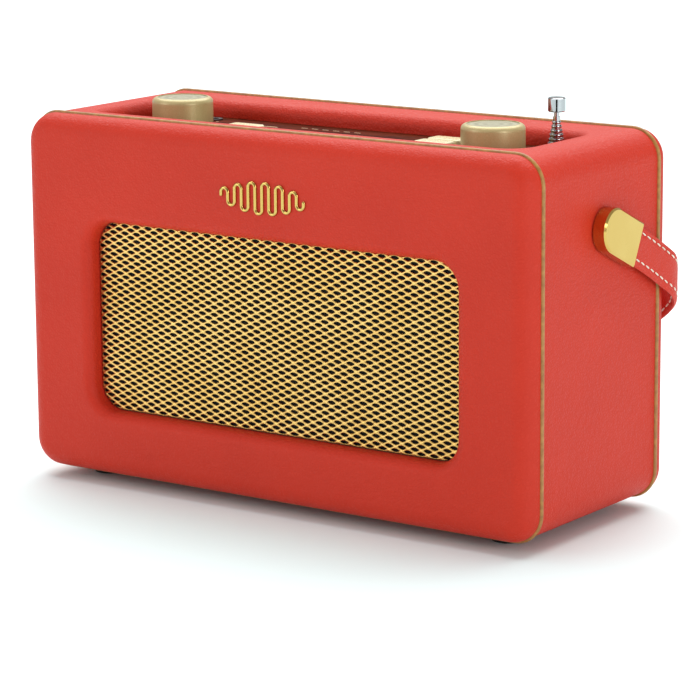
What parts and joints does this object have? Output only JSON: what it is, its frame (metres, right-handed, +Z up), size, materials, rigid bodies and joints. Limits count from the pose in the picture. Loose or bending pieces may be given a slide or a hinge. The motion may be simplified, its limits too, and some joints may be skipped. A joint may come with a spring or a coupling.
{
  "type": "leather portable radio",
  "caption": "Leather-covered portable radio with a mesh grille, a recessed top panel of knobs and keys, a swinging strap handle and a telescopic mast.",
  "frame": {"origin": "on the floor plane, under the middle of the case's width and of its depth between front and back faces", "axes": "+X to the right as seen from the front, the front and its grille look along -Y, +Z up"},
  "size_m": [0.262, 0.1191, 0.1688],
  "materials": {
    "red_leather": "fine pebble grain, satin",
    "board_wood": "raw fibreboard",
    "panel_wood": "varnished red-brown hardwood",
    "piping": "tan, satin",
    "brass": "polished pale gold plate",
    "grille_gold": "satin gold plate",
    "black_cloth": "fine woven",
    "chrome": "polished",
    "steel": "zinc plated",
    "cream_plastic": "cream, glossy",
    "knob_plastic": "warm beige metallic, satin",
    "knob_disc": "grey olive, matt",
    "shaft_metal": "turned",
    "black_plastic": "moulded, fine texture",
    "door_plastic": "moulded, fine texture",
    "circuit_board": "solder resist",
    "display_glass": "dark clear acrylic, polished",
    "display_unit": "black frame",
    "ferrite": "matt",
    "cone_paper": "pressed paper pulp",
    "rubber": "matt",
    "cell_can": "printed can, plain"
  },
  "bodies": {
    "case": {"antenna_guide": "chrome", "back_board": "board_wood", "back_cover": "red_leather", "back_piping": "piping", "back_screws": "steel", "badge": "brass", "battery_cells": "cell_can", "battery_holder": "black_plastic", "case_carcass": "board_wood", "case_wrap": "red_leather", "control_panel": "panel_wood", "dc_socket": "black_plastic", "display_module": "display_unit", "display_window": "display_glass", "encoders": "black_plastic", "feet": "rubber", "front_board": "board_wood", "front_cover": "red_leather", "front_piping": "piping", "grille": "grille_gold", "grille_cloth": "black_cloth", "headphone_socket": "black_plastic", "key_switches": "black_plastic", "main_board": "circuit_board", "panel_tray": "black_plastic", "pivot_studs": "steel", "pivot_washers": "steel", "socket_plate": "black_plastic", "speaker_frame": "steel", "speaker_magnet": "ferrite", "speaker_screws": "steel", "speaker_surround": "rubber"},
    "handle": {"handle_strap": "red_leather", "handle_cap_left": "brass", "handle_cap_right": "brass"},
    "antenna_base": {"antenna_slider": "steel"},
    "antenna_mast": {"antenna_elbow": "chrome", "antenna_section_1": "chrome"},
    "antenna_stage_2": {"antenna_section_2": "chrome"},
    "antenna_stage_3": {"antenna_section_3": "chrome"},
    "antenna_stage_4": {"antenna_section_4": "chrome"},
    "antenna_stage_5": {"antenna_section_5": "chrome"},
    "antenna_stage_6": {"antenna_section_6": "chrome"},
    "antenna_stage_7": {"antenna_section_7": "chrome", "antenna_tip": "chrome"},
    "volume_spindle": {"volume_shaft": "shaft_metal"},
    "volume_control": {"volume_knob": "knob_plastic", "volume_inlay": "knob_disc"},
    "tuning_spindle": {"tuning_shaft": "shaft_metal"},
    "tuning_control": {"tuning_knob": "knob_plastic", "tuning_inlay": "knob_disc"},
    "cone": {"speaker_cone": "cone_paper"},
    "door": {"battery_door": "door_plastic"},
    "button_1": {"key_1": "cream_plastic"},
    "button_2": {"key_2": "cream_plastic"},
    "button_3": {"key_3": "cream_plastic"},
    "button_4": {"key_4": "cream_plastic"},
    "button_5": {"key_5": "cream_plastic"},
    "button_6": {"key_6": "cream_plastic"}
  },
  "joints": [
    {"name": "handle_swing", "type": "hinge", "parent": "case", "child": "handle", "pos_m": [0, 0.0017, 0.121], "axis": [1, 0, 0], "range_deg": [0, 229]},
    {"name": "antenna_lift", "type": "slide", "parent": "case", "child": "antenna_base", "axis": [0, 0, 1], "range_m": [0, 0.111]},
    {"name": "antenna_swivel", "type": "hinge", "parent": "antenna_base", "child": "antenna_mast", "pos_m": [0.0937, 0.017, 0.031], "axis": [0, 0, 1], "continuous": true},
    {"name": "antenna_extend_2", "type": "slide", "parent": "antenna_mast", "child": "antenna_stage_2", "axis": [0, 0, 1], "range_m": [0, 0.086]},
    {"name": "antenna_extend_3", "type": "slide", "parent": "antenna_stage_2", "child": "antenna_stage_3", "axis": [0, 0, 1], "range_m": [0, 0.086]},
    {"name": "antenna_extend_4", "type": "slide", "parent": "antenna_stage_3", "child": "antenna_stage_4", "axis": [0, 0, 1], "range_m": [0, 0.086]},
    {"name": "antenna_extend_5", "type": "slide", "parent": "antenna_stage_4", "child": "antenna_stage_5", "axis": [0, 0, 1], "range_m": [0, 0.086]},
    {"name": "antenna_extend_6", "type": "slide", "parent": "antenna_stage_5", "child": "antenna_stage_6", "axis": [0, 0, 1], "range_m": [0, 0.086]},
    {"name": "antenna_extend_7", "type": "slide", "parent": "antenna_stage_6", "child": "antenna_stage_7", "axis": [0, 0, 1], "range_m": [0, 0.086]},
    {"name": "volume_turn", "type": "hinge", "parent": "case", "child": "volume_spindle", "pos_m": [-0.0775, -0.004, 0.148], "axis": [0, 0, 1], "continuous": true},
    {"name": "volume_press", "type": "slide", "parent": "volume_spindle", "child": "volume_control", "axis": [0, 0, -1], "range_m": [0, 0.0008], "stiffness_N_per_m": 1500, "springref_m": -0.0008},
    {"name": "tuning_turn", "type": "hinge", "parent": "case", "child": "tuning_spindle", "pos_m": [0.0775, -0.004, 0.148], "axis": [0, 0, 1], "continuous": true},
    {"name": "tuning_press", "type": "slide", "parent": "tuning_spindle", "child": "tuning_control", "axis": [0, 0, -1], "range_m": [0, 0.0008], "stiffness_N_per_m": 1500, "springref_m": -0.0008},
    {"name": "key_1_press", "type": "slide", "parent": "case", "child": "button_1", "axis": [0, 0, -1], "range_m": [0, 0.0008], "stiffness_N_per_m": 400, "springref_m": -0.0008},
    {"name": "key_2_press", "type": "slide", "parent": "case", "child": "button_2", "axis": [0, 0, -1], "range_m": [0, 0.0008], "stiffness_N_per_m": 400, "springref_m": -0.0008},
    {"name": "key_3_press", "type": "slide", "parent": "case", "child": "button_3", "axis": [0, 0, -1], "range_m": [0, 0.0008], "stiffness_N_per_m": 400, "springref_m": -0.0008},
    {"name": "key_4_press", "type": "slide", "parent": "case", "child": "button_4", "axis": [0, 0, -1], "range_m": [0, 0.0008], "stiffness_N_per_m": 400, "springref_m": -0.0008},
    {"name": "key_5_press", "type": "slide", "parent": "case", "child": "button_5", "axis": [0, 0, -1], "range_m": [0, 0.0008], "stiffness_N_per_m": 400, "springref_m": -0.0008},
    {"name": "key_6_press", "type": "slide", "parent": "case", "child": "button_6", "axis": [0, 0, -1], "range_m": [0, 0.0008], "stiffness_N_per_m": 400, "springref_m": -0.0008},
    {"name": "cone_travel", "type": "slide", "parent": "case", "child": "cone", "axis": [0, -1, 0], "range_m": [-0.0015, 0.0015], "stiffness_N_per_m": 1500},
    {"name": "battery_door_hinge", "type": "hinge", "parent": "case", "child": "door", "pos_m": [0, 0.0504, 0.0172], "axis": [-1, 0, 0], "range_deg": [0, 95]}
  ],
  "couplings": [
    {"joint": "antenna_extend_3", "follows": "antenna_extend_2", "ratio": 1},
    {"joint": "antenna_extend_4", "follows": "antenna_extend_2", "ratio": 1},
    {"joint": "antenna_extend_5", "follows": "antenna_extend_2", "ratio": 1},
    {"joint": "antenna_extend_6", "follows": "antenna_extend_2", "ratio": 1},
    {"joint": "antenna_extend_7", "follows": "antenna_extend_2", "ratio": 1}
  ]
}
